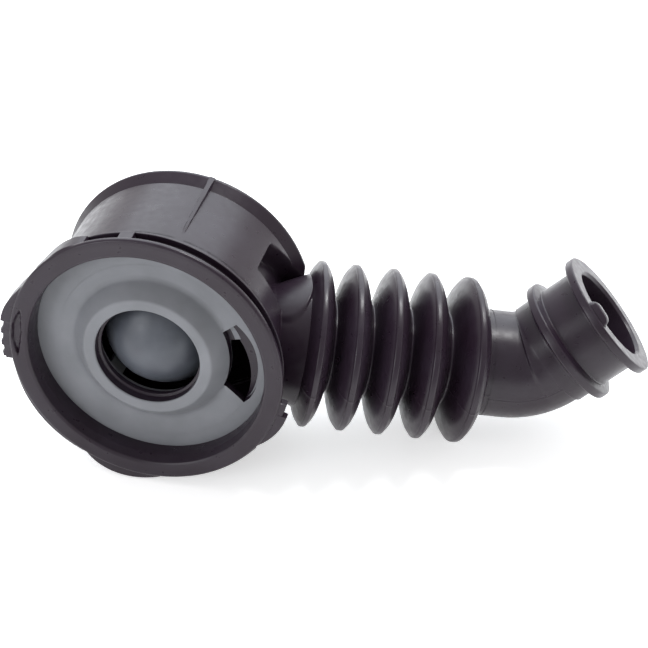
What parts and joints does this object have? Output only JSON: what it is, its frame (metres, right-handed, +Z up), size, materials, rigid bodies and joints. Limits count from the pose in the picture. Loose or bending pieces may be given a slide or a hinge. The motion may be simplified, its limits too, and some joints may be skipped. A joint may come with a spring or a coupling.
{
  "type": "tub to pump bellows hose",
  "caption": "Moulded rubber drain hose: a drum-shaped boot with a float valve in its mouth, a flexing bellows and a bent cuff that grips a pump.",
  "frame": {"origin": "middle of the tub mouth's bore", "axes": "+Z up with the hose lying on its side on a bench, +X along the bellows towards the pump cuff, the tub mouth looking along -Y and a little up"},
  "size_m": [0.2609, 0.1156, 0.1194],
  "materials": {
    "rubber": "semi-gloss moulded",
    "seat_plastic": "satin moulded",
    "ball_plastic": "satin moulded"
  },
  "bodies": {
    "boot": {"tub_collar": "rubber", "boot_wall": "rubber", "boot_back": "rubber", "outlet_neck": "rubber", "valve_seat": "seat_plastic"},
    "float_ball": {"float_ball": "ball_plastic"},
    "waist_1": {"waist_band_1": "rubber"},
    "fold_1": {"bellows_fold_1": "rubber"},
    "waist_2": {"waist_band_2": "rubber"},
    "fold_2": {"bellows_fold_2": "rubber"},
    "waist_3": {"waist_band_3": "rubber"},
    "fold_3": {"bellows_fold_3": "rubber"},
    "waist_4": {"waist_band_4": "rubber"},
    "fold_4": {"bellows_fold_4": "rubber"},
    "waist_5": {"waist_band_5": "rubber"},
    "fold_5": {"bellows_fold_5": "rubber"},
    "waist_6": {"waist_band_6": "rubber"},
    "hose_end": {"elbow": "rubber", "pump_cuff": "rubber"}
  },
  "joints": [
    {"name": "ball_float", "type": "slide", "parent": "boot", "child": "float_ball", "axis": [0, 0.9951, -0.0993], "range_m": [-0.006, 0]},
    {"name": "side_bend_1", "type": "hinge", "parent": "boot", "child": "waist_1", "pos_m": [0.0479, 0.03154, -0.01129], "axis": [0.153, 0.1442, 0.9777], "range_deg": [-7, 7], "stiffness_Nm_per_rad": 4},
    {"name": "stretch_1", "type": "slide", "parent": "waist_1", "child": "fold_1", "axis": [0.9448, 0.2688, -0.1875], "range_m": [-0.0015, 0.0015], "stiffness_N_per_m": 2500},
    {"name": "lift_bend_1", "type": "hinge", "parent": "fold_1", "child": "waist_2", "pos_m": [0.06324, 0.03591, -0.01434], "axis": [-0.2899, 0.9523, -0.0951], "range_deg": [-7, 7], "stiffness_Nm_per_rad": 4},
    {"name": "stretch_2", "type": "slide", "parent": "waist_2", "child": "fold_2", "axis": [0.9448, 0.2688, -0.1875], "range_m": [-0.0015, 0.0015], "stiffness_N_per_m": 2500},
    {"name": "side_bend_2", "type": "hinge", "parent": "fold_2", "child": "waist_3", "pos_m": [0.07859, 0.04027, -0.01739], "axis": [0.153, 0.1442, 0.9777], "range_deg": [-7, 7], "stiffness_Nm_per_rad": 4},
    {"name": "stretch_3", "type": "slide", "parent": "waist_3", "child": "fold_3", "axis": [0.9448, 0.2688, -0.1875], "range_m": [-0.0015, 0.0015], "stiffness_N_per_m": 2500},
    {"name": "lift_bend_2", "type": "hinge", "parent": "fold_3", "child": "waist_4", "pos_m": [0.09393, 0.04464, -0.02043], "axis": [-0.2899, 0.9523, -0.0951], "range_deg": [-7, 7], "stiffness_Nm_per_rad": 4},
    {"name": "stretch_4", "type": "slide", "parent": "waist_4", "child": "fold_4", "axis": [0.9448, 0.2688, -0.1875], "range_m": [-0.0015, 0.0015], "stiffness_N_per_m": 2500},
    {"name": "side_bend_3", "type": "hinge", "parent": "fold_4", "child": "waist_5", "pos_m": [0.10927, 0.04901, -0.02347], "axis": [0.153, 0.1442, 0.9777], "range_deg": [-7, 7], "stiffness_Nm_per_rad": 4},
    {"name": "stretch_5", "type": "slide", "parent": "waist_5", "child": "fold_5", "axis": [0.9448, 0.2688, -0.1875], "range_m": [-0.0015, 0.0015], "stiffness_N_per_m": 2500},
    {"name": "lift_bend_3", "type": "hinge", "parent": "fold_5", "child": "waist_6", "pos_m": [0.12461, 0.05337, -0.02652], "axis": [-0.2899, 0.9523, -0.0951], "range_deg": [-7, 7], "stiffness_Nm_per_rad": 4},
    {"name": "stretch_6", "type": "slide", "parent": "waist_6", "child": "hose_end", "axis": [0.9448, 0.2688, -0.1875], "range_m": [-0.0015, 0.0015], "stiffness_N_per_m": 2500}
  ],
  "couplings": [
    {"joint": "stretch_2", "follows": "stretch_1", "ratio": 1},
    {"joint": "side_bend_2", "follows": "side_bend_1", "ratio": 1},
    {"joint": "stretch_3", "follows": "stretch_1", "ratio": 1},
    {"joint": "lift_bend_2", "follows": "lift_bend_1", "ratio": 1},
    {"joint": "stretch_4", "follows": "stretch_1", "ratio": 1},
    {"joint": "side_bend_3", "follows": "side_bend_1", "ratio": 1},
    {"joint": "stretch_5", "follows": "stretch_1", "ratio": 1},
    {"joint": "lift_bend_3", "follows": "lift_bend_1", "ratio": 1},
    {"joint": "stretch_6", "follows": "stretch_1", "ratio": 1}
  ]
}
